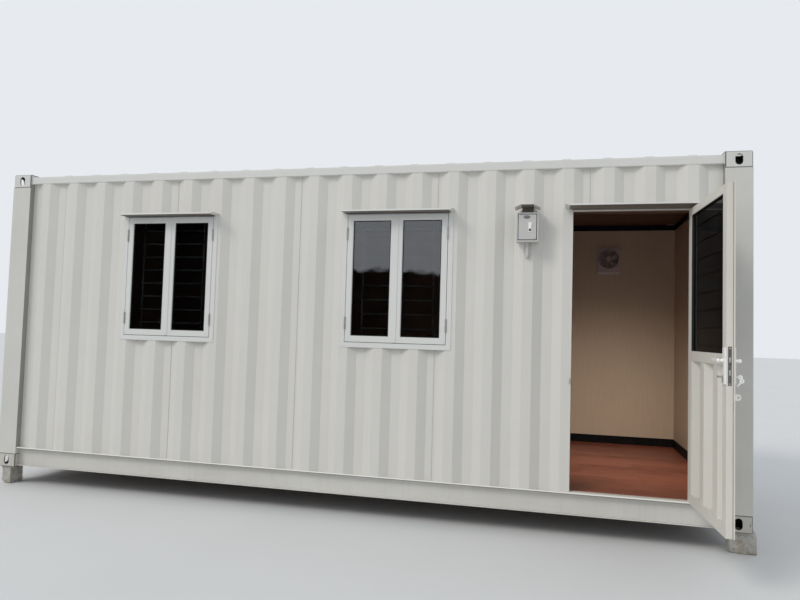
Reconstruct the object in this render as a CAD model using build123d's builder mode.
from build123d import *
from math import atan, cos, radians, sin, sqrt, tan
import os

# Shipping container cabin: a 20 foot steel container with a lined room inside, two double windows,
# an isolator box and an outward opening door, standing on four concrete blocks.
# Millimetres. X runs along the container, Y from the door side to the back, Z up.
# The origin is the centre of the finished floor.

# Overall sizes; cuts run past the faces they go through by the cut margin
length = 6058
width = 2438
height = 2591
floor_height = 180
block_height = 150
cut_margin = 1

half_length = length / 2
half_width = width / 2
base_z = -floor_height
top_z = base_z + height
ground_z = base_z - block_height

# Corner castings
casting_length = 178
casting_width = 162
casting_height = 118
casting_wall = 13
casting_edge = 12
side_slot_width = 51
side_slot_height = 78
end_slot_width = 51
end_slot_height = 78
top_slot_length = 124
top_slot_width = 63.5
slot_inset_x = 102.5
slot_inset_y = 89.5

# Corner posts: an L section hidden behind the linings
post_side_depth = 80
post_end_depth = 70
post_wall = 6

# Rails
side_rail = 60
side_rail_wall = 3
side_rail_recess = 12
side_rail_drop = 25
end_rail_recess = 12
side_rail_corner = 6
bottom_rail_clearance = 14
bottom_rail_height = 158
bottom_rail_thickness = 4.5
bottom_rail_recess = 10
bottom_rail_web_recess = 50
bottom_rail_lip = 30
bottom_end_rail_width = 60
bottom_end_rail_height = 150
bottom_end_rail_wall = 4
bottom_end_rail_corner = 8

# Corrugated side walls
wall_recess = 12
sheet = 1.6
crest = 72
slope = 68
pitch = 281
corrugation_depth = 36
first_crest_offset = 199

# Corrugated end walls
end_sheet = 2
end_crest = 104
end_slope = 18
end_pitch = 250
end_depth = 45.6
end_recess = 13

# Roof
roof_sheet = 2
roof_edge_inset = 10
roof_end_inset = 24
roof_corner_gap = 2
roof_ridge_pitch = 287
roof_ridge_offset = 338
roof_ridge_width = 96
roof_ridge_height = 20
roof_ridge_inset = 20
roof_ridge_taper = 45
roof_ridge_thinning = 0.5

# Floor
member_height = 122
member_flange = 45
member_wall = 4
member_pitch = 318
member_end_gap = 200
deck_thickness = 28
covering_thickness = 4
deck_end_gap = 2

# Linings, ceiling and trims
room_end_depth = 89
room_side_depth = 102
lining = 12
ceiling_gap = 3
ceiling_thickness = 10
batten = 40
batten_pitch = 900
batten_end_gap = 200
skirting_height = 80
skirting_thickness = 10
cornice_height = 55
cornice_thickness = 10
trim_gap = 0.5
corner_relief = 2

# Windows
left_window_x = -1433
right_window_x = 531
window_bottom = 1012
window_field_width = 792
window_clearance = 4
window_sleeve = 3
window_flange_width = 38
window_flange_thickness = 4
sash_thickness = 30
sash_rail = 48
sash_meeting_gap = 3
sash_bead = 6
glass_thickness = 5
glass_groove = 8
glass_setback = 10
sleeve_proud = 3
window_hood_overhang = 24
window_hood_depth = 110
window_hood_gap = 9
hood_sheet = 2.5
hood_lip = 12
hood_wing = 30
hood_wing_rise = 12
window_hinge_height = 96
window_hinge_drop = 150
window_hinge_rise = 142
hinge_knuckle_radius = 5
hinge_leaf_width = 7
hinge_leaf_thickness = 2.5

# Door opening and frame
opening_width = 820
opening_end_distance = 366
opening_drop = 405
frame_sheet = 3
frame_front_lip = 11
frame_back_lip = 23
frame_recess = 9
door_hood_overhang = 30
door_hood_depth = 150
door_hood_gap = 18

# Door leaf
door_clearance = 5
free_edge_clearance = 7
door_angle = 92.9
hinge_offset = 3
hinge_stand_off = 6
leaf_body = 38
leaf_lip_thickness = 6
leaf_lip_overlap = 12
leaf_stile = 65
leaf_top_rail = 50
leaf_mid_rail = 65
leaf_mid_rail_bottom = 961
leaf_wall = 2
panel_sheet = 1.5
panel_depth = 34
panel_recess = 2
panel_first_crest = 17
low_hinge_z = 240
middle_hinge_z = 1000
high_hinge_drop = 246
door_knuckle_radius = 8
door_knuckle_height = 60
door_knuckle_gap = 1
knuckle_pin_radius = 4
knuckle_pin_height = 45
knuckle_clearance = 0.4
leaf_tab_length = 26

# Lock furniture
lock_backset = 27
lever_z = 988
cylinder_z = 897
plate_width = 40
plate_bottom = 854
plate_height = 208
plate_thickness = 8
plate_corner = 6
plate_edge_distance = 2
faceplate_width = 20
faceplate_height = 220
faceplate_thickness = 3
lock_case_height = 165
lock_case_depth = 48
lock_case_width = 14
lever_neck_radius = 9
lever_neck_length = 34
lever_length = 127
lever_grip_height = 18
lever_grip_thickness = 13
lever_grip_corner = 5
spindle_side = 8
spindle_clearance = 0.4
cylinder_radius = 8.5
cylinder_body_height = 33
cylinder_body_width = 10
cylinder_reach = 6
thumb_turn_neck = 6
thumb_turn_neck_radius = 4
thumb_turn_length = 16
thumb_turn_width = 26
thumb_turn_thickness = 11
key_thickness = 2
key_blade = 8
key_shank = 5
key_length = 28
key_bow_radius = 11
key_rim = 3
key_hole_radius = 3.5
key_ring_radius = 11
key_ring_wire = 1
key_overlap = 0.3
eye_z = 786
eye_height = 36
eye_reach = 31
eye_thickness = 5
eye_corner = 14
eye_hole = 14
eye_edge_distance = 1

# Isolator box
isolator_door_distance = 322
isolator_drop = 231
isolator_width = 158
isolator_height = 213
isolator_depth = 90
isolator_wall = 2
isolator_rim = 11
isolator_corner = 6
cover_gap = 5
cover_proud = 5
cover_flange = 9
cover_corner = 3
latch_width = 22
latch_height = 70
latch_offset = 19
latch_rise = 107
latch_corner = 4
latch_plate = 2.5
latch_lever_rise = 8
latch_lever_width = 14
latch_lever_height = 36
latch_lever_depth = 5
latch_hole_drop = 24
latch_hole_radius = 4.5
isolator_hood_overhang = 12
isolator_hood_flat = 92
isolator_hood_depth = 150
isolator_hood_gap = 48
isolator_hood_drop = 20
conduit_radius = 12
conduit_drop = 78
conduit_bend = 26
conduit_wall = 2

# Ventilation fan in the back wall
fan_end_distance = 745
fan_drop = 358
fan_face = 230
fan_skirt = 58
fan_corner = 8
fan_depth = 40
fan_bore = 100
fan_sleeve_wall = 3
fan_rotor_recess = 10
fan_hub_radius = 32
fan_hub_length = 30
fan_hub_gap = 6
fan_shaft_radius = 4
fan_shaft_clearance = 0.4
fan_shaft_depth = 25
fan_motor_radius = 38
fan_motor_length = 50
fan_arm_width = 10
fan_arm_thickness = 8
fan_blades = 5
fan_blade_start = 18
fan_blade_gap = 8
fan_blade_root = 4
fan_blade_thickness = 2
fan_root_chord = 32
fan_root_pitch = 42
fan_tip_chord = 62
fan_tip_pitch = 26
louvre_size = 250
louvre_border = 22
louvre_depth = 12
louvre_slats = 8
louvre_slat = 32
louvre_sheet = 1.5
louvre_slope = 73

# Blocks
left_block_length = 145
right_block_length = 175
block_width = 97
block_edge = 4
left_block_inset = 73
left_block_setback = 20
right_block_inset = 49
right_block_setback = 45


def corrugation(count, first_edge, step, crest_length, slope_length, depth, thickness, start, end):
    """Outline of a trapezoid sheet: crests at v = 0, troughs at v = depth, thickness added towards +v."""
    shift = thickness * tan(atan(depth / slope_length) / 2)
    front = [(start, depth)]
    back = [(start, depth + thickness)]
    for number in range(count):
        edge = first_edge + number * step
        rise = edge - crest_length - slope_length
        front += [(rise, depth), (edge - crest_length, 0), (edge, 0), (edge + slope_length, depth)]
        back += [
            (rise + shift, depth + thickness),
            (edge - crest_length + shift, thickness),
            (edge - shift, thickness),
            (edge + slope_length - shift, depth + thickness),
        ]
    front.append((end, depth))
    back.append((end, depth + thickness))
    return front + back[::-1]


def along_y(points, origin_y, sign):
    """Sheet outline placed in plan for a side wall."""
    return [(u, origin_y + sign * v) for u, v in points]


def along_x(points, origin_x, sign):
    """Sheet outline placed in plan for an end wall."""
    return [(origin_x + sign * v, u) for u, v in points]


os.makedirs("parts", exist_ok=True)
parts = []


def keep(part, name):
    part.label = name
    parts.append(part)


corner_x = half_length - casting_length / 2
corner_y = half_width - casting_width / 2
corners = [(corner_x, corner_y), (-corner_x, corner_y), (corner_x, -corner_y), (-corner_x, -corner_y)]
slot_x = half_length - slot_inset_x
slot_y = half_width - slot_inset_y
slot_centres = [(slot_x, slot_y), (-slot_x, slot_y), (slot_x, -slot_y), (-slot_x, -slot_y)]
post_inner_x = half_length - casting_length
post_inner_y = half_width - casting_width

# Main levels and places that several pieces share
bottom_rail_bottom = base_z + bottom_rail_clearance
bottom_rail_top = bottom_rail_bottom + bottom_rail_height
room_half_length = half_length - room_end_depth
room_front_y = -half_width + room_side_depth
room_back_y = half_width - room_side_depth
ceiling_z = top_z - casting_height - ceiling_gap
opening_right = half_length - opening_end_distance
opening_left = opening_right - opening_width
opening_middle = (opening_left + opening_right) / 2
opening_top = top_z - opening_drop
frame_front_y = -half_width + frame_recess
window_centres = (left_window_x, right_window_x)
window_field_height = opening_top - window_bottom
window_hood_z = opening_top + window_hood_gap
fan_x = half_length - fan_end_distance
fan_z = ceiling_z - fan_drop
fan_sleeve = 2 * (fan_bore + fan_sleeve_wall)


# Corner castings: hollow blocks with slots in the side, the end and the top or bottom

outer_x = half_length - cut_margin
outer_y = half_width - cut_margin
for name, low_z in (("top_castings", top_z - casting_height), ("bottom_castings", base_z)):
    mid_z = low_z + casting_height / 2
    with BuildPart() as castings:
        with BuildSketch(Plane.XY.offset(low_z)):
            with Locations(*corners):
                Rectangle(casting_length, casting_width)
        extrude(amount=casting_height)
        outer_z = top_z if name == "top_castings" else base_z
        outer_edges = [
            edge
            for edge in castings.edges()
            if (abs(edge.center().X) > outer_x) + (abs(edge.center().Y) > outer_y)
            + (abs(edge.center().Z - outer_z) < cut_margin) == 2
        ]
        fillet(outer_edges, casting_edge)
        with BuildSketch(Plane.XY.offset(low_z + casting_wall)):
            with Locations(*corners):
                Rectangle(casting_length - 2 * casting_wall, casting_width - 2 * casting_wall)
        extrude(amount=casting_height - 2 * casting_wall, mode=Mode.SUBTRACT)
        for side in (-1, 1):
            cut_y = side * (half_width - casting_wall - cut_margin)
            with BuildSketch(Plane((0, cut_y, mid_z), x_dir=(1, 0, 0), z_dir=(0, side, 0))):
                with Locations((corner_x, 0), (-corner_x, 0)):
                    SlotOverall(side_slot_height, side_slot_width, rotation=90)
            extrude(amount=casting_wall + 2 * cut_margin, mode=Mode.SUBTRACT)
            cut_x = side * (half_length - casting_wall - cut_margin)
            with BuildSketch(Plane((cut_x, 0, mid_z), x_dir=(0, 1, 0), z_dir=(side, 0, 0))):
                with Locations((corner_y, 0), (-corner_y, 0)):
                    SlotOverall(end_slot_height, end_slot_width, rotation=90)
            extrude(amount=casting_wall + 2 * cut_margin, mode=Mode.SUBTRACT)
        slot_z = top_z - casting_wall - cut_margin if name == "top_castings" else base_z - cut_margin
        with BuildSketch(Plane.XY.offset(slot_z)):
            with Locations(*slot_centres):
                SlotOverall(top_slot_length, top_slot_width)
        extrude(amount=casting_wall + 2 * cut_margin, mode=Mode.SUBTRACT)
    keep(castings.part, name)


# Corner posts: closed L sections between the castings

post_bottom = base_z + casting_height
post_height = height - 2 * casting_height
with BuildPart() as corner_posts:
    for sx in (-1, 1):
        for sy in (-1, 1):
            ox = sx * half_length
            oy = sy * half_width
            outer = [
                (ox, oy),
                (ox - sx * casting_length, oy),
                (ox - sx * casting_length, oy - sy * post_side_depth),
                (ox - sx * post_end_depth, oy - sy * post_side_depth),
                (ox - sx * post_end_depth, oy - sy * casting_width),
                (ox, oy - sy * casting_width),
            ]
            inner = [
                (ox - sx * post_wall, oy - sy * post_wall),
                (ox - sx * (casting_length - post_wall), oy - sy * post_wall),
                (ox - sx * (casting_length - post_wall), oy - sy * (post_side_depth - post_wall)),
                (ox - sx * (post_end_depth - post_wall), oy - sy * (post_side_depth - post_wall)),
                (ox - sx * (post_end_depth - post_wall), oy - sy * (casting_width - post_wall)),
                (ox - sx * post_wall, oy - sy * (casting_width - post_wall)),
            ]
            with BuildSketch(Plane.XY.offset(post_bottom)):
                with BuildLine():
                    Polyline(*outer, close=True)
                make_face()
                with BuildLine():
                    Polyline(*inner, close=True)
                make_face(mode=Mode.SUBTRACT)
            extrude(amount=post_height)
keep(corner_posts.part, "corner_posts")


# Top rails: square tubes between the castings

side_rail_top = top_z - side_rail_drop
rail_middle_z = side_rail_top - side_rail / 2
rail_inner = side_rail - 2 * side_rail_wall
side_rail_y = half_width - side_rail_recess - side_rail / 2
end_rail_x = half_length - end_rail_recess - side_rail / 2
with BuildPart() as top_side_rails:
    with BuildSketch(Plane.YZ.offset(-post_inner_x)):
        with Locations((side_rail_y, rail_middle_z), (-side_rail_y, rail_middle_z)):
            RectangleRounded(side_rail, side_rail, side_rail_corner)
            RectangleRounded(rail_inner, rail_inner, side_rail_corner - side_rail_wall, mode=Mode.SUBTRACT)
    extrude(amount=2 * post_inner_x)
keep(top_side_rails.part, "top_side_rails")

with BuildPart() as top_end_rails:
    with BuildSketch(Plane.XZ.offset(-post_inner_y)):
        with Locations((end_rail_x, rail_middle_z), (-end_rail_x, rail_middle_z)):
            RectangleRounded(side_rail, side_rail, side_rail_corner)
            RectangleRounded(rail_inner, rail_inner, side_rail_corner - side_rail_wall, mode=Mode.SUBTRACT)
    extrude(amount=2 * post_inner_y)
keep(top_end_rails.part, "top_end_rails")


# Bottom side rails: channels with both flanges outwards, the wall sheets stand on the top flange

with BuildPart() as bottom_side_rails:
    for side in (-1, 1):
        lip_y = side * (half_width - bottom_rail_recess)
        web_y = side * (half_width - bottom_rail_web_recess)
        back_y = web_y - side * bottom_rail_thickness
        foot_y = web_y + side * bottom_rail_lip
        with BuildSketch(Plane.YZ.offset(-post_inner_x)):
            with BuildLine():
                Polyline(
                    (lip_y, bottom_rail_top),
                    (back_y, bottom_rail_top),
                    (back_y, bottom_rail_bottom),
                    (foot_y, bottom_rail_bottom),
                    (foot_y, bottom_rail_bottom + bottom_rail_thickness),
                    (web_y, bottom_rail_bottom + bottom_rail_thickness),
                    (web_y, bottom_rail_top - bottom_rail_thickness),
                    (lip_y, bottom_rail_top - bottom_rail_thickness),
                    close=True,
                )
            make_face()
        extrude(amount=2 * post_inner_x)
keep(bottom_side_rails.part, "bottom_side_rails")

bottom_end_inner_x = half_length - end_rail_recess - bottom_end_rail_width
bottom_end_x = bottom_end_inner_x + bottom_end_rail_width / 2
bottom_end_z = bottom_rail_bottom + bottom_end_rail_height / 2
with BuildPart() as bottom_end_rails:
    with BuildSketch(Plane.XZ.offset(-post_inner_y)):
        with Locations((bottom_end_x, bottom_end_z), (-bottom_end_x, bottom_end_z)):
            RectangleRounded(bottom_end_rail_width, bottom_end_rail_height, bottom_end_rail_corner)
            RectangleRounded(
                bottom_end_rail_width - 2 * bottom_end_rail_wall,
                bottom_end_rail_height - 2 * bottom_end_rail_wall,
                bottom_end_rail_corner - bottom_end_rail_wall,
                mode=Mode.SUBTRACT,
            )
    extrude(amount=2 * post_inner_y)
keep(bottom_end_rails.part, "bottom_end_rails")


# Floor: cross members, plywood deck and the wood-look covering inside the skirting

deck_top = -covering_thickness
deck_bottom = deck_top - deck_thickness
member_half = half_width - bottom_rail_web_recess - bottom_rail_thickness
member_z = deck_bottom - member_height / 2
member_count = int(2 * (bottom_end_inner_x - member_end_gap) // member_pitch) + 1
with BuildPart() as cross_members:
    with BuildSketch(Plane.XZ.offset(-member_half)):
        with Locations((0, member_z)):
            with GridLocations(member_pitch, 1, member_count, 1):
                Rectangle(member_flange, member_height)
        with Locations((member_wall, member_z)):
            with GridLocations(member_pitch, 1, member_count, 1):
                Rectangle(member_flange, member_height - 2 * member_wall, mode=Mode.SUBTRACT)
    extrude(amount=2 * member_half)
keep(cross_members.part, "cross_members")

with BuildPart() as floor_deck:
    with BuildSketch(Plane.XY.offset(deck_bottom)):
        Rectangle(2 * (bottom_end_inner_x - deck_end_gap), 2 * member_half)
        for sx in (-1, 1):
            for sy in (-1, 1):
                with Locations((sx * corner_x, sy * (half_width - post_side_depth / 2))):
                    Rectangle(casting_length, post_side_depth, mode=Mode.SUBTRACT)
    extrude(amount=deck_thickness)
keep(floor_deck.part, "floor_deck")

covering_half_length = room_half_length - skirting_thickness
covering_front_y = room_front_y + skirting_thickness
covering_back_y = room_back_y - skirting_thickness
tongue_depth = covering_front_y + member_half
with BuildPart() as floor_covering:
    with BuildSketch(Plane.XY.offset(deck_top)):
        with Locations((0, (covering_front_y + covering_back_y) / 2)):
            Rectangle(2 * covering_half_length, covering_back_y - covering_front_y)
        with Locations((opening_middle, -member_half + tongue_depth / 2)):
            Rectangle(opening_width, tongue_depth)
    extrude(amount=covering_thickness)
keep(floor_covering.part, "floor_covering")


# Side walls of corrugated sheet, the front one cut for the windows and the doorway

wall_front_y = -half_width + wall_recess
wall_bottom = bottom_rail_top
wall_top = side_rail_top - side_rail
first_crest_edge = first_crest_offset - post_inner_x
corrugation_count = int((post_inner_x - first_crest_edge - slope) // pitch) + 1
side_outline = corrugation(
    corrugation_count,
    first_crest_edge,
    pitch,
    crest,
    slope,
    corrugation_depth,
    sheet,
    -post_inner_x,
    post_inner_x,
)
frame_left = opening_left - frame_sheet
frame_right = opening_right + frame_sheet
frame_top = opening_top + frame_sheet
sleeve_width = window_field_width + 2 * window_clearance + 2 * window_sleeve
sleeve_height = window_field_height + 2 * window_clearance + 2 * window_sleeve
window_middle_z = window_bottom + window_field_height / 2
wall_pieces = (
    ("front_wall_left", -post_inner_x, frame_left, wall_bottom),
    ("front_wall_over_door", frame_left, frame_right, frame_top),
    ("front_wall_right", frame_right, post_inner_x, wall_bottom),
)
for name, left_x, right_x, low_z in wall_pieces:
    with BuildPart() as front_piece:
        with BuildSketch(Plane.XY.offset(low_z)):
            with BuildLine():
                Polyline(*along_y(side_outline, wall_front_y, 1), close=True)
            make_face()
            with Locations(((left_x + right_x) / 2, wall_front_y)):
                Rectangle(right_x - left_x, 4 * corrugation_depth, mode=Mode.INTERSECT)
        extrude(amount=wall_top - low_z)
        if name == "front_wall_left":
            with BuildSketch(Plane.XZ.offset(half_width)):
                with Locations(*[(x, window_middle_z) for x in window_centres]):
                    Rectangle(sleeve_width, sleeve_height)
            extrude(amount=-4 * corrugation_depth, mode=Mode.SUBTRACT)
    keep(front_piece.part, name)

with BuildPart() as rear_wall:
    with BuildSketch(Plane.XY.offset(wall_bottom)):
        with BuildLine():
            Polyline(*along_y(side_outline, half_width - wall_recess, -1), close=True)
        make_face()
    extrude(amount=wall_top - wall_bottom)
    with BuildSketch(Plane.XZ.offset(-half_width)):
        with Locations((fan_x, fan_z)):
            Rectangle(fan_sleeve, fan_sleeve)
    extrude(amount=4 * corrugation_depth, mode=Mode.SUBTRACT)
keep(rear_wall.part, "rear_wall")

end_bottom = bottom_rail_bottom + bottom_end_rail_height
end_count = int((2 * post_inner_y - end_crest - 2 * end_slope) // end_pitch) + 1
end_first_edge = -end_pitch * (end_count - 1) / 2 + end_crest / 2
end_outline = corrugation(
    end_count,
    end_first_edge,
    end_pitch,
    end_crest,
    end_slope,
    end_depth,
    end_sheet,
    -post_inner_y,
    post_inner_y,
)
for name, side in (("left_end_wall", -1), ("right_end_wall", 1)):
    with BuildPart() as end_wall:
        with BuildSketch(Plane.XY.offset(end_bottom)):
            with BuildLine():
                Polyline(*along_x(end_outline, side * (half_length - end_recess), -side), close=True)
            make_face()
        extrude(amount=wall_top - end_bottom)
    keep(end_wall.part, name)


# Roof: a sheet lying on the top rails with pressed ridges across it

roof_half_width = half_width - side_rail_recess - roof_edge_inset
roof_half_length = half_length - roof_end_inset
ridge_length = 2 * (roof_half_width - roof_ridge_inset)
ridge_first = roof_ridge_offset - post_inner_x
ridge_count = int((post_inner_x - ridge_first - roof_ridge_width / 2) // roof_ridge_pitch) + 1
ridge_centres = [(ridge_first + number * roof_ridge_pitch, 0) for number in range(ridge_count)]
with BuildPart() as roof_panel:
    with BuildSketch(Plane.XY.offset(side_rail_top)):
        Rectangle(2 * (post_inner_x - roof_corner_gap), 2 * roof_half_width)
        Rectangle(2 * roof_half_length, 2 * (post_inner_y - roof_corner_gap))
    extrude(amount=roof_sheet)
    with BuildSketch(Plane.XY.offset(side_rail_top + roof_sheet)):
        with Locations(*ridge_centres):
            Rectangle(roof_ridge_width, ridge_length)
    extrude(amount=roof_ridge_height, taper=roof_ridge_taper)
    with BuildSketch(Plane.XY.offset(side_rail_top)):
        with Locations(*ridge_centres):
            Rectangle(roof_ridge_width - 2 * roof_ridge_thinning, ridge_length - 2 * roof_ridge_thinning)
    extrude(amount=roof_ridge_height, taper=roof_ridge_taper, mode=Mode.SUBTRACT)
keep(roof_panel.part, "roof_panel")


# Windows: flanged frames through the wall, two side-hung sashes each, panes, pin hinges and hoods

window_face_y = wall_front_y - window_flange_thickness
frame_back_y = room_front_y + sleeve_proud
flange_low_z = window_bottom - window_clearance - window_flange_width
flange_middles = [(x, (flange_low_z + window_hood_z) / 2) for x in window_centres]
sleeve_depth = frame_back_y - window_face_y
field_middles = [(x, window_middle_z) for x in window_centres]
with BuildPart() as window_frames:
    with BuildSketch(Plane.XZ.offset(-wall_front_y)):
        with Locations(*flange_middles):
            Rectangle(sleeve_width + 2 * (window_flange_width - window_sleeve), window_hood_z - flange_low_z)
    extrude(amount=window_flange_thickness)
    with BuildSketch(Plane.XZ.offset(-wall_front_y)):
        with Locations(*field_middles):
            Rectangle(sleeve_width, sleeve_height)
    extrude(amount=wall_front_y - frame_back_y)
    with BuildSketch(Plane.XZ.offset(-window_face_y)):
        with Locations(*field_middles):
            Rectangle(sleeve_width - 2 * window_sleeve, sleeve_height - 2 * window_sleeve)
    extrude(amount=-sleeve_depth, mode=Mode.SUBTRACT)
keep(window_frames.part, "window_frames")

sash_width = (window_field_width - sash_meeting_gap) / 2
sash_offset = (sash_width + sash_meeting_gap) / 2
sash_middles = [(x + s * sash_offset, window_middle_z) for x in window_centres for s in (-1, 1)]
pane_width = sash_width - 2 * sash_rail
pane_height = window_field_height - 2 * sash_rail
sash_front_y = window_face_y
with BuildPart() as window_sashes:
    with BuildSketch(Plane.XZ.offset(-sash_front_y)):
        with Locations(*sash_middles):
            Rectangle(sash_width, window_field_height)
            Rectangle(pane_width, pane_height, mode=Mode.SUBTRACT)
    extrude(amount=-sash_thickness)
    front_edges = window_sashes.faces().sort_by(Axis.Y)[:4].edges()
    inner_edges = [
        edge
        for edge in front_edges
        if min(abs(edge.center().X - x) for x, _ in sash_middles) < pane_width / 2 + cut_margin
        and abs(edge.center().Z - window_middle_z) < pane_height / 2 + cut_margin
    ]
    chamfer(inner_edges, sash_bead)
    with BuildSketch(Plane.XZ.offset(-sash_front_y - glass_setback)):
        with Locations(*sash_middles):
            Rectangle(pane_width + 2 * glass_groove, pane_height + 2 * glass_groove)
    extrude(amount=-glass_thickness, mode=Mode.SUBTRACT)
keep(window_sashes.part, "window_sashes")

with BuildPart() as window_panes:
    with BuildSketch(Plane.XZ.offset(-sash_front_y - glass_setback)):
        with Locations(*sash_middles):
            Rectangle(pane_width + 2 * glass_groove, pane_height + 2 * glass_groove)
    extrude(amount=-glass_thickness)
keep(window_panes.part, "window_panes")

window_hinge_top = opening_top - window_hinge_drop
window_hinge_bottom = window_bottom + window_hinge_rise
hinge_spots = [
    (x + s * (window_field_width / 2 + window_clearance / 2), z)
    for x in window_centres
    for s in (-1, 1)
    for z in (window_hinge_top, window_hinge_bottom)
]
with BuildPart() as window_hinges:
    for spot_x, spot_z in hinge_spots:
        with BuildSketch(Plane.XY.offset(spot_z - window_hinge_height / 2)):
            with Locations((spot_x, window_face_y - hinge_leaf_thickness / 2)):
                Rectangle(2 * hinge_leaf_width, hinge_leaf_thickness)
            with Locations((spot_x, window_face_y - hinge_knuckle_radius)):
                Circle(hinge_knuckle_radius)
        extrude(amount=window_hinge_height)
keep(window_hinges.part, "window_hinges")


def hood_outline(centre_x, underside_z, flat_width, wing, rise):
    """Front view of a hood sheet: a flat middle with a sloping wing at each end."""
    half = flat_width / 2
    lift = hood_sheet / cos(atan(rise / wing))
    return [
        (centre_x - half - wing, underside_z + rise),
        (centre_x - half, underside_z),
        (centre_x + half, underside_z),
        (centre_x + half + wing, underside_z + rise),
        (centre_x + half + wing, underside_z + rise + lift),
        (centre_x + half, underside_z + hood_sheet),
        (centre_x - half, underside_z + hood_sheet),
        (centre_x - half - wing, underside_z + rise + lift),
    ]


window_hood_width = window_field_width + 2 * window_hood_overhang
with BuildPart() as window_hoods:
    for centre in window_centres:
        with BuildSketch(Plane.XZ.offset(-wall_front_y)):
            with BuildLine():
                Polyline(
                    *hood_outline(centre, window_hood_z, window_hood_width, hood_wing, hood_wing_rise),
                    close=True,
                )
            make_face()
        extrude(amount=window_hood_depth)
        with BuildSketch(Plane.XZ.offset(-wall_front_y + window_hood_depth - hood_sheet)):
            with Locations((centre, window_hood_z + hood_lip / 2)):
                Rectangle(window_hood_width, hood_lip)
        extrude(amount=hood_sheet)
keep(window_hoods.part, "window_hoods")


# Door frame, threshold and hood

with BuildPart() as door_frame:
    with BuildSketch(Plane.XZ.offset(-frame_front_y)):
        with Locations((opening_middle, (opening_top + frame_front_lip + deck_top) / 2)):
            Rectangle(opening_width + 2 * frame_front_lip, opening_top + frame_front_lip - deck_top)
    extrude(amount=-frame_sheet)
    with BuildSketch(Plane.XZ.offset(-frame_front_y)):
        with Locations((opening_middle, (frame_top + deck_top) / 2)):
            Rectangle(opening_width + 2 * frame_sheet, frame_top - deck_top)
    extrude(amount=frame_front_y - room_front_y)
    with BuildSketch(Plane.XZ.offset(-room_front_y)):
        with Locations((opening_middle, (opening_top + frame_back_lip) / 2)):
            Rectangle(opening_width + 2 * frame_back_lip, opening_top + frame_back_lip)
    extrude(amount=-frame_sheet)
    with BuildSketch(Plane.XZ.offset(half_width)):
        with Locations((opening_middle, (opening_top + 2 * deck_top) / 2)):
            Rectangle(opening_width, opening_top - 2 * deck_top)
    extrude(amount=-casting_width, mode=Mode.SUBTRACT)
keep(door_frame.part, "door_frame")

threshold_front_y = -half_width + bottom_rail_recess
threshold_depth = -member_half - threshold_front_y
with BuildPart() as door_threshold:
    with BuildSketch(Plane.XY.offset(bottom_rail_top)):
        with Locations((opening_middle, threshold_front_y + threshold_depth / 2)):
            Rectangle(opening_width + 2 * frame_sheet, threshold_depth)
    extrude(amount=deck_top - bottom_rail_top)
    with BuildSketch(Plane.XY.offset(deck_top)):
        with Locations((opening_middle, threshold_front_y + threshold_depth / 2)):
            Rectangle(opening_width, threshold_depth)
    extrude(amount=covering_thickness)
keep(door_threshold.part, "door_threshold")

door_hood_z = opening_top + door_hood_gap
door_hood_width = opening_width + 2 * door_hood_overhang
with BuildPart() as door_hood:
    with BuildSketch(Plane.XZ.offset(-wall_front_y)):
        with BuildLine():
            Polyline(
                *hood_outline(opening_middle, door_hood_z, door_hood_width, hood_wing, hood_wing_rise),
                close=True,
            )
        make_face()
    extrude(amount=door_hood_depth)
    with BuildSketch(Plane.XZ.offset(-wall_front_y + door_hood_depth - hood_sheet)):
        with Locations((opening_middle, door_hood_z + hood_lip / 2)):
            Rectangle(door_hood_width, hood_lip)
    extrude(amount=hood_sheet)
keep(door_hood.part, "door_hood")


# Door leaf, drawn open. u runs from the hinge pin to the free edge, v out of the outer face, z up.

hinge_x = opening_right + hinge_offset
hinge_y = -half_width - hinge_stand_off
turn = radians(door_angle)
pin = Vector(hinge_x, hinge_y, 0)
along = Vector(-cos(turn), -sin(turn), 0)
outwards = Vector(sin(turn), -cos(turn), 0)


def leaf_plane(v):
    """Plane parallel to the leaf at v: u to the right, z up, and extrusions run inwards."""
    return Plane(origin=pin + outwards * v, x_dir=along, z_dir=-outwards)


def leaf_level(z):
    """Level plane at z: u to the right, v up the sketch, and extrusions run upwards."""
    return Plane(origin=pin + Vector(0, 0, z), x_dir=along, z_dir=(0, 0, 1))


def leaf_section(u):
    """Upright plane across the leaf at u: v to the right, z up, and extrusions run to the free edge."""
    return Plane(origin=pin + along * u, x_dir=outwards, z_dir=along)


leaf_start = hinge_x - opening_right + door_clearance
leaf_end = hinge_x - opening_left - free_edge_clearance
leaf_width = leaf_end - leaf_start
leaf_middle_u = (leaf_start + leaf_end) / 2
leaf_bottom = door_clearance
leaf_top = opening_top - door_clearance
leaf_height = leaf_top - leaf_bottom
leaf_middle_z = (leaf_bottom + leaf_top) / 2
lip_inner_v = hinge_y - frame_front_y + door_clearance
lip_outer_v = lip_inner_v + leaf_lip_thickness
leaf_inner_v = lip_inner_v - leaf_body
leaf_depth = leaf_body + leaf_lip_thickness
leaf_mid_v = lip_inner_v - leaf_body / 2
field_width = leaf_width - 2 * leaf_stile
leaf_mid_rail_top = leaf_mid_rail_bottom + leaf_mid_rail
light_bottom = leaf_mid_rail_top
light_top = leaf_top - leaf_top_rail
light_height = light_top - light_bottom
light_middle_z = (light_bottom + light_top) / 2
field_bottom = leaf_bottom + leaf_stile
field_height = leaf_mid_rail_bottom - field_bottom
field_middle_z = field_bottom + field_height / 2
spindle_u = leaf_end - lock_backset
lock_middle_z = plate_bottom + plate_height / 2
neck_bore = lever_neck_radius + spindle_clearance
spindle_bore = spindle_side / sqrt(2) + spindle_clearance

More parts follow.
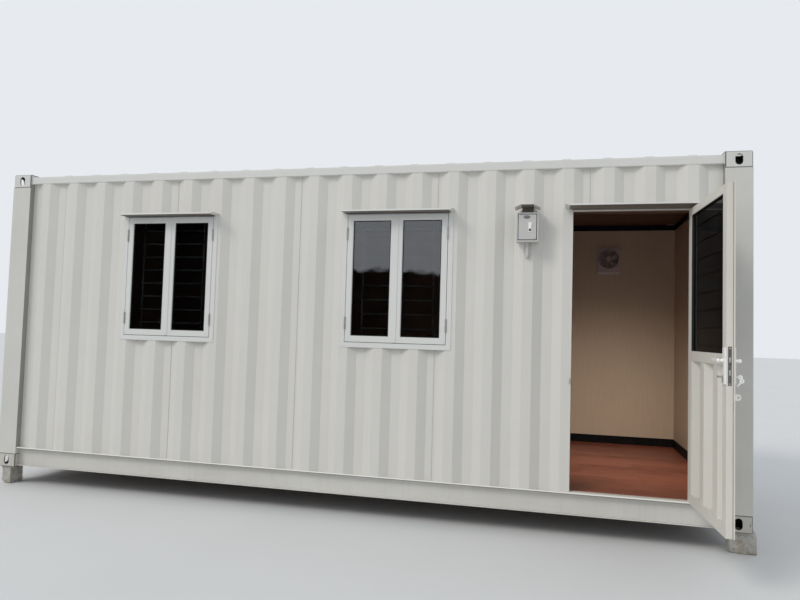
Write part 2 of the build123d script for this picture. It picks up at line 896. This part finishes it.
# Profile of the lock cylinder, a round head above a flat body
with BuildSketch(leaf_plane(0)) as cylinder_profile:
    with Locations((spindle_u, cylinder_z)):
        Circle(cylinder_radius)
    with Locations((spindle_u, cylinder_z - cylinder_body_height / 2)):
        Rectangle(cylinder_body_width, cylinder_body_height)


with BuildPart() as leaf_frame:
    with BuildSketch(leaf_plane(lip_inner_v)):
        with Locations((leaf_middle_u, leaf_middle_z)):
            Rectangle(leaf_width, leaf_height)
    extrude(amount=leaf_body)
    with BuildSketch(leaf_plane(lip_outer_v)):
        with Locations((leaf_middle_u + leaf_lip_overlap / 2, leaf_middle_z + leaf_lip_overlap / 2)):
            Rectangle(leaf_width + leaf_lip_overlap, leaf_height + leaf_lip_overlap)
    extrude(amount=leaf_lip_thickness)
    with BuildSketch(leaf_plane(lip_outer_v)):
        with Locations((leaf_middle_u, light_middle_z)):
            Rectangle(field_width, light_height)
        with Locations((leaf_middle_u, field_middle_z)):
            Rectangle(field_width, field_height)
    extrude(amount=leaf_depth, mode=Mode.SUBTRACT)
    # hollow inside the stiles and rails
    with BuildSketch(leaf_plane(lip_inner_v - leaf_wall)):
        for middle_u in (leaf_start + leaf_stile / 2, leaf_end - leaf_stile / 2):
            with Locations((middle_u, leaf_middle_z)):
                Rectangle(leaf_stile - 2 * leaf_wall, leaf_height - 2 * leaf_wall)
        for low_z, high_z in (
            (leaf_bottom, field_bottom),
            (leaf_mid_rail_bottom, leaf_mid_rail_top),
            (light_top, leaf_top),
        ):
            with Locations((leaf_middle_u, (low_z + high_z) / 2)):
                Rectangle(leaf_width - 2 * leaf_wall, high_z - low_z - 2 * leaf_wall)
    extrude(amount=leaf_body - 2 * leaf_wall, mode=Mode.SUBTRACT)
    # groove for the pane
    with BuildSketch(leaf_plane(leaf_mid_v + glass_thickness / 2)):
        with Locations((leaf_middle_u, light_middle_z)):
            Rectangle(field_width + 2 * glass_groove, light_height + 2 * glass_groove)
    extrude(amount=glass_thickness, mode=Mode.SUBTRACT)
    # openings of the lock in the free stile
    with BuildSketch(leaf_section(leaf_end - faceplate_thickness)):
        with Locations((leaf_mid_v, lock_middle_z)):
            Rectangle(faceplate_width, faceplate_height)
    extrude(amount=faceplate_thickness, mode=Mode.SUBTRACT)
    with BuildSketch(leaf_plane(lip_outer_v)):
        with Locations((spindle_u, lever_z)):
            Circle(spindle_bore)
    extrude(amount=leaf_depth, mode=Mode.SUBTRACT)
    extrude(cylinder_profile.sketch, amount=2 * leaf_depth, both=True, mode=Mode.SUBTRACT)
keep(leaf_frame.part, "leaf_frame")

with BuildPart() as leaf_pane:
    with BuildSketch(leaf_plane(leaf_mid_v + glass_thickness / 2)):
        with Locations((leaf_middle_u, light_middle_z)):
            Rectangle(field_width + 2 * glass_groove, light_height + 2 * glass_groove)
    extrude(amount=glass_thickness)
keep(leaf_pane.part, "leaf_pane")

# Lower field: a piece of the wall sheet, its crests towards the room
panel_v = leaf_inner_v + panel_recess
panel_left = leaf_start + leaf_stile
panel_first_edge = panel_left + panel_first_crest
panel_crests = int((field_width + crest + slope) // pitch) + 2
panel_outline = corrugation(
    panel_crests,
    panel_first_edge,
    pitch,
    crest,
    slope,
    panel_depth,
    panel_sheet,
    panel_first_edge - pitch,
    panel_first_edge + panel_crests * pitch,
)
with BuildPart() as leaf_panel:
    with BuildSketch(leaf_level(field_bottom)):
        with BuildLine():
            Polyline(*[(u, panel_v + v) for u, v in panel_outline], close=True)
        make_face()
        with Locations((leaf_middle_u, (lip_outer_v + leaf_inner_v) / 2)):
            Rectangle(field_width, leaf_depth, mode=Mode.INTERSECT)
    extrude(amount=field_height)
keep(leaf_panel.part, "leaf_panel")


# Bullet hinges: the lower knuckle with its pin on the frame, the upper knuckle on the leaf

tab_depth = frame_front_y - hinge_y
door_hinge_levels = (low_hinge_z, middle_hinge_z, opening_top - high_hinge_drop)
with BuildPart() as door_hinges:
    for level in door_hinge_levels:
        with BuildSketch(Plane.XY.offset(level - door_knuckle_height)):
            with Locations((hinge_x, hinge_y)):
                Circle(door_knuckle_radius)
            with Locations((opening_right + frame_front_lip / 2, hinge_y + tab_depth / 2)):
                Rectangle(frame_front_lip, tab_depth)
        extrude(amount=door_knuckle_height)
        with BuildSketch(Plane.XY.offset(level)):
            with Locations((hinge_x, hinge_y)):
                Circle(knuckle_pin_radius)
        extrude(amount=knuckle_pin_height)
keep(door_hinges.part, "door_hinges")

with BuildPart() as leaf_hinges:
    for level in door_hinge_levels:
        with BuildSketch(leaf_level(level + door_knuckle_gap)):
            Circle(door_knuckle_radius)
            with Locations((leaf_tab_length / 2, lip_outer_v - lip_outer_v / 2)):
                Rectangle(leaf_tab_length, -lip_outer_v)
        extrude(amount=door_knuckle_height)
        with BuildSketch(leaf_level(level + door_knuckle_gap)):
            Circle(knuckle_pin_radius + knuckle_clearance)
        extrude(amount=knuckle_pin_height, mode=Mode.SUBTRACT)
keep(leaf_hinges.part, "leaf_hinges")


# Lock: case with its faceplate in the edge, plates on both faces, cylinder with thumb turn, and keys

with BuildPart() as lock_case:
    with BuildSketch(leaf_section(leaf_end - faceplate_thickness)):
        with Locations((leaf_mid_v, lock_middle_z)):
            Rectangle(faceplate_width, faceplate_height)
    extrude(amount=faceplate_thickness)
    with BuildSketch(leaf_section(leaf_end - faceplate_thickness)):
        with Locations((leaf_mid_v, lock_middle_z)):
            Rectangle(lock_case_width, lock_case_height)
    extrude(amount=-lock_case_depth)
    with BuildSketch(leaf_plane(lip_outer_v)):
        with Locations((spindle_u, lever_z)):
            Circle(spindle_bore)
    extrude(amount=leaf_depth, mode=Mode.SUBTRACT)
    extrude(cylinder_profile.sketch, amount=2 * leaf_depth, both=True, mode=Mode.SUBTRACT)
keep(lock_case.part, "lock_case")

with BuildPart() as lock_plates:
    for plate_v in (lip_outer_v + plate_thickness, leaf_inner_v):
        with BuildSketch(leaf_plane(plate_v)):
            with Locations((leaf_end - plate_edge_distance - plate_width / 2, lock_middle_z)):
                RectangleRounded(plate_width, plate_height, plate_corner)
            with Locations((spindle_u, lever_z)):
                Circle(neck_bore, mode=Mode.SUBTRACT)
        extrude(amount=plate_thickness)
    extrude(cylinder_profile.sketch, amount=2 * leaf_depth, both=True, mode=Mode.SUBTRACT)
keep(lock_plates.part, "lock_plates")

cylinder_outer_v = lip_outer_v + plate_thickness + cylinder_reach
cylinder_inner_v = leaf_inner_v - plate_thickness - cylinder_reach
with BuildPart() as lock_cylinder:
    extrude(cylinder_profile.sketch, amount=-cylinder_inner_v)
    extrude(cylinder_profile.sketch, amount=-cylinder_outer_v)
    with BuildSketch(leaf_plane(cylinder_inner_v)):
        with Locations((spindle_u, cylinder_z)):
            Circle(thumb_turn_neck_radius)
    extrude(amount=thumb_turn_neck)
    with BuildSketch(leaf_plane(cylinder_inner_v - thumb_turn_neck)):
        with Locations((spindle_u, cylinder_z)):
            SlotOverall(thumb_turn_width, thumb_turn_thickness)
    extrude(amount=thumb_turn_length)
keep(lock_cylinder.part, "lock_cylinder")

# One key stands in the outer side, and a ring through its bow carries a second key
bow_v = cylinder_outer_v + key_shank + key_bow_radius
bow_hole_v = bow_v + key_bow_radius - key_rim - key_hole_radius
ring_top_z = cylinder_z - key_hole_radius + key_ring_wire - key_overlap
ring_z = ring_top_z - key_ring_radius
spare_hole_z = ring_z - key_ring_radius - key_hole_radius + key_ring_wire - key_overlap
spare_bow_z = spare_hole_z - key_bow_radius + key_rim + key_hole_radius
with BuildPart() as door_keys:
    with BuildSketch(leaf_section(spindle_u - key_thickness / 2)):
        with Locations((cylinder_outer_v + (key_shank + key_rim) / 2, cylinder_z)):
            Rectangle(key_shank + key_rim, key_blade)
        with Locations((bow_v, cylinder_z)):
            Circle(key_bow_radius)
        with Locations((bow_hole_v, cylinder_z)):
            Circle(key_hole_radius, mode=Mode.SUBTRACT)
        with Locations((bow_hole_v, spare_bow_z)):
            Circle(key_bow_radius)
        with Locations((bow_hole_v, spare_bow_z - key_bow_radius - key_length / 2)):
            Rectangle(key_blade, key_length + key_rim)
        with Locations((bow_hole_v, spare_hole_z)):
            Circle(key_hole_radius, mode=Mode.SUBTRACT)
    extrude(amount=key_thickness)
    with BuildSketch(leaf_level(ring_z)):
        with Locations((spindle_u + key_ring_radius, bow_hole_v)):
            Circle(key_ring_wire)
    ring_centre = pin + outwards * bow_hole_v + along * spindle_u + Vector(0, 0, ring_z)
    revolve(axis=Axis(ring_centre, outwards))
keep(door_keys.part, "door_keys")


# Padlock eyes, one on the leaf and one on the wall beside it

eye_hole_v = lip_outer_v + eye_reach - eye_corner
eye_u = leaf_end + leaf_lip_overlap - eye_edge_distance - eye_thickness
with BuildPart() as leaf_eye:
    with BuildSketch(leaf_section(eye_u)) as eye_shape:
        with Locations((lip_outer_v + eye_reach / 2, eye_z)):
            Rectangle(eye_reach, eye_height)
        fillet(eye_shape.vertices().sort_by(Axis.X)[-2:], eye_corner)
        with Locations((eye_hole_v, eye_z)):
            Circle(eye_hole / 2, mode=Mode.SUBTRACT)
    extrude(amount=eye_thickness)
keep(leaf_eye.part, "leaf_eye")

wall_eye_reach = wall_front_y - hinge_y + lip_outer_v + eye_reach
wall_eye_x = opening_left - frame_front_lip - eye_edge_distance - eye_thickness
with BuildPart() as wall_eye:
    with BuildSketch(Plane.YZ.offset(wall_eye_x)) as wall_eye_shape:
        with Locations((wall_front_y - wall_eye_reach / 2, eye_z)):
            Rectangle(wall_eye_reach, eye_height)
        fillet(wall_eye_shape.vertices().sort_by(Axis.X)[:2], eye_corner)
        with Locations((hinge_y - eye_hole_v, eye_z)):
            Circle(eye_hole / 2, mode=Mode.SUBTRACT)
    extrude(amount=eye_thickness)
keep(wall_eye.part, "wall_eye")


# Lever handles: a square spindle through the lock with a neck and a grip at each end

outer_neck_v = lip_outer_v + plate_thickness
inner_neck_v = leaf_inner_v - plate_thickness
with BuildPart() as lever_handles:
    with BuildSketch(leaf_plane(outer_neck_v)):
        with Locations((spindle_u, lever_z)):
            Rectangle(spindle_side, spindle_side)
    extrude(amount=outer_neck_v - inner_neck_v)
    for neck_start_v, direction in (
        (outer_neck_v - plate_thickness / 2, -1),
        (inner_neck_v + plate_thickness / 2, 1),
    ):
        with BuildSketch(leaf_plane(neck_start_v)):
            with Locations((spindle_u, lever_z)):
                Circle(lever_neck_radius)
        extrude(amount=direction * (lever_neck_length + plate_thickness / 2))
    for grip_v in (
        outer_neck_v + lever_neck_length - lever_grip_thickness / 2,
        inner_neck_v - lever_neck_length + lever_grip_thickness / 2,
    ):
        with BuildSketch(leaf_section(spindle_u + lever_neck_radius)):
            with Locations((grip_v, lever_z)):
                RectangleRounded(lever_grip_thickness, lever_grip_height, lever_grip_corner)
        extrude(amount=-lever_length)
keep(lever_handles.part, "lever_handles")


# Isolator box with its cover, latch, hood and conduit

isolator_centre = opening_left - isolator_door_distance
isolator_bottom = opening_top - isolator_drop
isolator_front_y = wall_front_y - isolator_depth
isolator_middle_z = isolator_bottom + isolator_height / 2
with BuildPart() as isolator_box:
    with BuildSketch(Plane.XZ.offset(-wall_front_y)):
        with Locations((isolator_centre, isolator_middle_z)):
            RectangleRounded(isolator_width, isolator_height, isolator_corner)
    extrude(amount=isolator_depth)
    with BuildSketch(Plane.XZ.offset(-wall_front_y + isolator_wall)):
        with Locations((isolator_centre, isolator_middle_z)):
            Rectangle(isolator_width - 2 * isolator_wall, isolator_height - 2 * isolator_wall)
    extrude(amount=isolator_depth - 2 * isolator_wall, mode=Mode.SUBTRACT)
    with BuildSketch(Plane.XZ.offset(-isolator_front_y)):
        with Locations((isolator_centre, isolator_middle_z)):
            Rectangle(isolator_width - 2 * isolator_rim, isolator_height - 2 * isolator_rim)
    extrude(amount=-isolator_wall, mode=Mode.SUBTRACT)
keep(isolator_box.part, "isolator_box")

cover_width = isolator_width - 2 * isolator_rim - 2 * cover_gap
cover_height = isolator_height - 2 * isolator_rim - 2 * cover_gap
cover_flange_y = isolator_front_y + isolator_wall
cover_front_y = isolator_front_y - cover_proud
with BuildPart() as isolator_cover:
    with BuildSketch(Plane.XZ.offset(-cover_flange_y)):
        with Locations((isolator_centre, isolator_middle_z)):
            Rectangle(cover_width + 2 * cover_flange, cover_height + 2 * cover_flange)
    extrude(amount=-isolator_wall)
    with BuildSketch(Plane.XZ.offset(-cover_flange_y)):
        with Locations((isolator_centre, isolator_middle_z)):
            RectangleRounded(cover_width, cover_height, cover_corner)
    extrude(amount=cover_flange_y - cover_front_y)
keep(isolator_cover.part, "isolator_cover")

latch_x = isolator_centre + latch_offset
latch_z = isolator_bottom + latch_rise
with BuildPart() as isolator_latch:
    with BuildSketch(Plane.XZ.offset(-cover_front_y)):
        with Locations((latch_x, latch_z)):
            RectangleRounded(latch_width, latch_height, latch_corner)
    extrude(amount=latch_plate)
    with BuildSketch(Plane.XZ.offset(-cover_front_y + latch_plate)):
        with Locations((latch_x, latch_z + latch_lever_rise)):
            RectangleRounded(latch_lever_width, latch_lever_height, latch_corner)
    extrude(amount=latch_lever_depth)
    with BuildSketch(Plane.XZ.offset(-cover_front_y)):
        with Locations((latch_x, latch_z - latch_hole_drop)):
            Circle(latch_hole_radius)
    extrude(amount=latch_plate, mode=Mode.SUBTRACT)
keep(isolator_latch.part, "isolator_latch")

isolator_hood_z = isolator_bottom + isolator_height + isolator_hood_gap
isolator_hood_wing = (isolator_width + 2 * isolator_hood_overhang - isolator_hood_flat) / 2
with BuildPart() as isolator_hood:
    with BuildSketch(Plane.XZ.offset(-wall_front_y)):
        with BuildLine():
            Polyline(
                *hood_outline(
                    isolator_centre,
                    isolator_hood_z,
                    isolator_hood_flat,
                    isolator_hood_wing,
                    -isolator_hood_drop,
                ),
                close=True,
            )
        make_face()
    extrude(amount=isolator_hood_depth)
keep(isolator_hood.part, "isolator_hood")

conduit_y = wall_front_y - conduit_bend
conduit_low_z = isolator_bottom - conduit_drop
with BuildPart() as isolator_conduit:
    with BuildSketch(Plane.XY.offset(conduit_low_z)):
        with Locations((isolator_centre, conduit_y)):
            Circle(conduit_radius)
            Circle(conduit_radius - conduit_wall, mode=Mode.SUBTRACT)
    extrude(amount=conduit_drop)
    with BuildSketch(Plane.XY.offset(conduit_low_z)):
        with Locations((isolator_centre, conduit_y)):
            Circle(conduit_radius)
            Circle(conduit_radius - conduit_wall, mode=Mode.SUBTRACT)
    revolve(axis=Axis((isolator_centre, wall_front_y, conduit_low_z), (1, 0, 0)), revolution_arc=90)
keep(isolator_conduit.part, "isolator_conduit")


# Linings on the four walls, ceiling and battens

lining_end_x = room_half_length + lining
lining_pieces = (
    ("lining_front_left", -lining_end_x, frame_left, deck_top),
    ("lining_front_over_door", frame_left, frame_right, frame_top),
    ("lining_front_right", frame_right, lining_end_x, deck_top),
)
for name, left_x, right_x, low_z in lining_pieces:
    with BuildPart() as front_lining:
        with BuildSketch(Plane.XZ.offset(-room_front_y)):
            with Locations(((left_x + right_x) / 2, (low_z + ceiling_z) / 2)):
                Rectangle(right_x - left_x, ceiling_z - low_z)
            if name == "lining_front_left":
                with Locations(*field_middles):
                    Rectangle(sleeve_width, sleeve_height, mode=Mode.SUBTRACT)
        extrude(amount=lining)
    keep(front_lining.part, name)

with BuildPart() as lining_rear:
    with BuildSketch(Plane.XZ.offset(-room_back_y)):
        with Locations((0, (deck_top + ceiling_z) / 2)):
            Rectangle(2 * lining_end_x, ceiling_z - deck_top)
        with Locations((fan_x, fan_z)):
            Rectangle(fan_sleeve, fan_sleeve, mode=Mode.SUBTRACT)
    extrude(amount=-lining)
keep(lining_rear.part, "lining_rear")

for name, side in (("lining_left_end", -1), ("lining_right_end", 1)):
    with BuildPart() as end_lining:
        with BuildSketch(Plane.XY.offset(deck_top)):
            with Locations((side * (room_half_length + lining / 2), 0)):
                Rectangle(lining, room_back_y - room_front_y)
        extrude(amount=ceiling_z - deck_top)
    keep(end_lining.part, name)

with BuildPart() as ceiling_panel:
    with BuildSketch(Plane.XY.offset(ceiling_z)):
        Rectangle(2 * lining_end_x, 2 * (room_back_y + lining))
        with Locations(*corners):
            Rectangle(
                casting_length + 2 * corner_relief, casting_width + 2 * corner_relief, mode=Mode.SUBTRACT
            )
    extrude(amount=ceiling_thickness)
keep(ceiling_panel.part, "ceiling_panel")

rail_inner_y = half_width - side_rail_recess - side_rail
batten_count = int(2 * (room_half_length - batten_end_gap) // batten_pitch) + 1
with BuildPart() as ceiling_battens:
    with BuildSketch(Plane.XY.offset(ceiling_z + ceiling_thickness)):
        with GridLocations(batten_pitch, 1, batten_count, 1):
            Rectangle(batten, 2 * rail_inner_y)
    extrude(amount=batten)
keep(ceiling_battens.part, "ceiling_battens")


# Skirting round the floor and cornice round the ceiling

trim_left = opening_left - frame_back_lip
trim_right = opening_right + frame_back_lip
skirting_y = room_back_y - skirting_thickness / 2
with BuildPart() as skirting:
    with BuildSketch(Plane.XY.offset(deck_top)):
        with Locations((0, skirting_y)):
            Rectangle(2 * room_half_length, skirting_thickness)
        with Locations(((trim_left - room_half_length) / 2, -skirting_y)):
            Rectangle(trim_left + room_half_length, skirting_thickness)
        with Locations(((trim_right + room_half_length) / 2, -skirting_y)):
            Rectangle(room_half_length - trim_right, skirting_thickness)
        for side in (-1, 1):
            with Locations((side * (room_half_length - skirting_thickness / 2), 0)):
                Rectangle(skirting_thickness, covering_back_y - covering_front_y - 2 * trim_gap)
    extrude(amount=covering_thickness + skirting_height)
keep(skirting.part, "skirting")

cornice_y = room_back_y - cornice_thickness / 2
with BuildPart() as cornice:
    with BuildSketch(Plane.XY.offset(ceiling_z - cornice_height)):
        for side in (-1, 1):
            with Locations((0, side * cornice_y)):
                Rectangle(2 * room_half_length, cornice_thickness)
            with Locations((side * (room_half_length - cornice_thickness / 2), 0)):
                Rectangle(cornice_thickness, 2 * (room_back_y - cornice_thickness - trim_gap))
    extrude(amount=cornice_height)
keep(cornice.part, "cornice")


# Ventilation fan: boxed frame and sleeve, motor on three arms, rotor, and louvre outside

fan_face_y = room_back_y - fan_depth
fan_back_y = room_back_y - fan_sleeve_wall
wall_back_y = half_width - wall_recess
fan_low_z = fan_z - fan_face / 2 - fan_skirt
fan_box_z = fan_low_z + (fan_face + fan_skirt) / 2
with BuildPart() as fan_frame:
    with BuildSketch(Plane.XZ.offset(-fan_face_y)):
        with Locations((fan_x, fan_box_z)):
            RectangleRounded(fan_face, fan_face + fan_skirt, fan_corner)
    extrude(amount=-fan_depth)
    with BuildSketch(Plane.XZ.offset(-fan_face_y - fan_sleeve_wall)):
        with Locations((fan_x, fan_box_z)):
            Rectangle(fan_face - 2 * fan_sleeve_wall, fan_face + fan_skirt - 2 * fan_sleeve_wall)
        with Locations((fan_x, fan_z)):
            Circle(fan_bore + fan_sleeve_wall, mode=Mode.SUBTRACT)
    extrude(amount=-fan_depth + 2 * fan_sleeve_wall, mode=Mode.SUBTRACT)
    with BuildSketch(Plane.XZ.offset(-fan_back_y)):
        with Locations((fan_x, fan_z)):
            Rectangle(fan_sleeve, fan_sleeve)
            Rectangle(fan_sleeve - 2 * fan_sleeve_wall, fan_sleeve - 2 * fan_sleeve_wall, mode=Mode.SUBTRACT)
    extrude(amount=-wall_back_y + fan_back_y)
    with BuildSketch(Plane.XZ.offset(-fan_face_y)):
        with Locations((fan_x, fan_z)):
            Circle(fan_bore)
    extrude(amount=-fan_depth, mode=Mode.SUBTRACT)
keep(fan_frame.part, "fan_frame")

rotor_front_y = fan_face_y + fan_rotor_recess
motor_front_y = rotor_front_y + fan_hub_length + fan_hub_gap
sleeve_inner = fan_sleeve - 2 * fan_sleeve_wall
with BuildPart() as fan_motor:
    with BuildSketch(Plane.XZ.offset(-motor_front_y)):
        for arm_angle in (90, 210, 330):
            reach_x = sleeve_inner / 2 * cos(radians(arm_angle))
            reach_z = sleeve_inner / 2 * sin(radians(arm_angle))
            with Locations((fan_x + reach_x, fan_z + reach_z)):
                Rectangle(sleeve_inner, fan_arm_width, rotation=arm_angle)
        with Locations((fan_x, fan_z)):
            Rectangle(sleeve_inner, sleeve_inner, mode=Mode.INTERSECT)
    extrude(amount=-fan_arm_thickness)
    with BuildSketch(Plane.XZ.offset(-motor_front_y)):
        with Locations((fan_x, fan_z)):
            Circle(fan_motor_radius)
    extrude(amount=-fan_motor_length)
    with BuildSketch(Plane.XZ.offset(-motor_front_y)):
        with Locations((fan_x, fan_z)):
            Circle(fan_shaft_radius + fan_shaft_clearance)
    extrude(amount=-fan_shaft_depth - fan_hub_gap, mode=Mode.SUBTRACT)
keep(fan_motor.part, "fan_motor")

rotor_mid_y = rotor_front_y + fan_hub_length / 2
with BuildPart() as fan_rotor:
    with BuildSketch(Plane.XZ.offset(-rotor_front_y)):
        with Locations((fan_x, fan_z)):
            Circle(fan_hub_radius)
    extrude(amount=-fan_hub_length)
    with BuildSketch(Plane.XZ.offset(-rotor_front_y)):
        with Locations((fan_x, fan_z)):
            Circle(fan_shaft_radius)
    extrude(amount=-fan_hub_length - fan_hub_gap - fan_shaft_depth)
    for number in range(fan_blades):
        blade_angle = radians(fan_blade_start + number * 360 / fan_blades)
        radial = Vector(cos(blade_angle), 0, sin(blade_angle))
        centre = Vector(fan_x, rotor_mid_y, fan_z)
        for radius, chord, pitch_angle in (
            (fan_hub_radius - fan_blade_root, fan_root_chord, fan_root_pitch),
            (fan_bore - fan_blade_gap, fan_tip_chord, fan_tip_pitch),
        ):
            with BuildSketch(Plane(origin=centre + radial * radius, x_dir=(0, 1, 0), z_dir=radial)):
                Rectangle(fan_blade_thickness, chord, rotation=pitch_angle)
        loft(ruled=True)
keep(fan_rotor.part, "fan_rotor")

louvre_inner = louvre_size - 2 * louvre_border
louvre_pitch = louvre_inner / louvre_slats
with BuildPart() as fan_louvre:
    with BuildSketch(Plane.XZ.offset(-wall_back_y)):
        with Locations((fan_x, fan_z)):
            Rectangle(louvre_size, louvre_size)
            Rectangle(louvre_inner, louvre_inner, mode=Mode.SUBTRACT)
    extrude(amount=-louvre_depth)
    with BuildSketch(Plane.YZ.offset(fan_x - louvre_inner / 2)):
        with Locations((wall_back_y + louvre_depth / 2, fan_z)):
            with GridLocations(1, louvre_pitch, 1, louvre_slats):
                Rectangle(louvre_slat, louvre_sheet, rotation=-louvre_slope)
    extrude(amount=louvre_inner)
keep(fan_louvre.part, "fan_louvre")


# Concrete blocks under the castings: across the length on the left, along it on the right

left_block_x = left_block_inset - half_length
right_block_x = half_length - right_block_inset
with BuildPart() as support_blocks:
    with BuildSketch(Plane.XY.offset(ground_z)):
        for side in (-1, 1):
            with Locations((right_block_x, side * (half_width - right_block_setback - block_width / 2))):
                Rectangle(right_block_length, block_width)
            with Locations((left_block_x, side * (half_width - left_block_setback - left_block_length / 2))):
                Rectangle(block_width, left_block_length)
    extrude(amount=block_height)
    fillet(support_blocks.edges().filter_by(Axis.Z), block_edge)
keep(support_blocks.part, "support_blocks")


for part in parts:
    export_step(part, f"parts/{part.label}.step")
